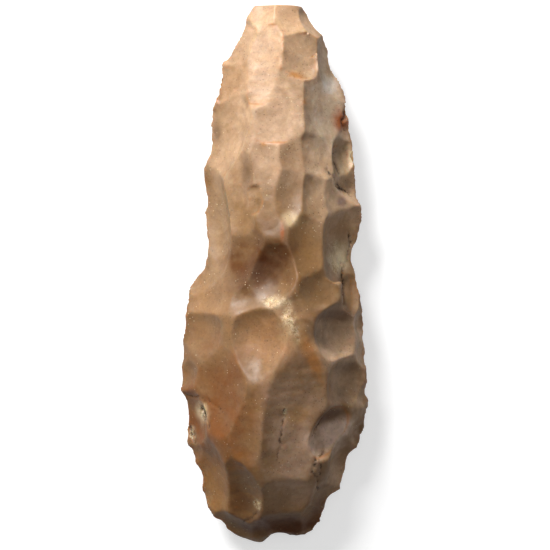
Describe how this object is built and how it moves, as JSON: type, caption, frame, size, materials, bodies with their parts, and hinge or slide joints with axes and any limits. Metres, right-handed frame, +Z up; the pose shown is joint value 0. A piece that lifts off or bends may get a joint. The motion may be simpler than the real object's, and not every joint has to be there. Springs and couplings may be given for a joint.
{
  "type": "flint adze",
  "caption": "Knapped flint adze: a long core tool with flaked faces, a narrow butt and a broad blade, lying flat.",
  "frame": {"origin": "centre of the bounding box, on the plane the tool rests on", "axes": "+Y runs from the blade to the butt, +Z is up from the rest flat to the crown, +X is to the right seen from above with the butt away"},
  "size_m": [0.0675, 0.192, 0.0385],
  "materials": {
    "flint": "waxy, slightly glossy brown flint"
  },
  "bodies": {
    "root": {"flint_adze": "flint"}
  },
  "joints": []
}
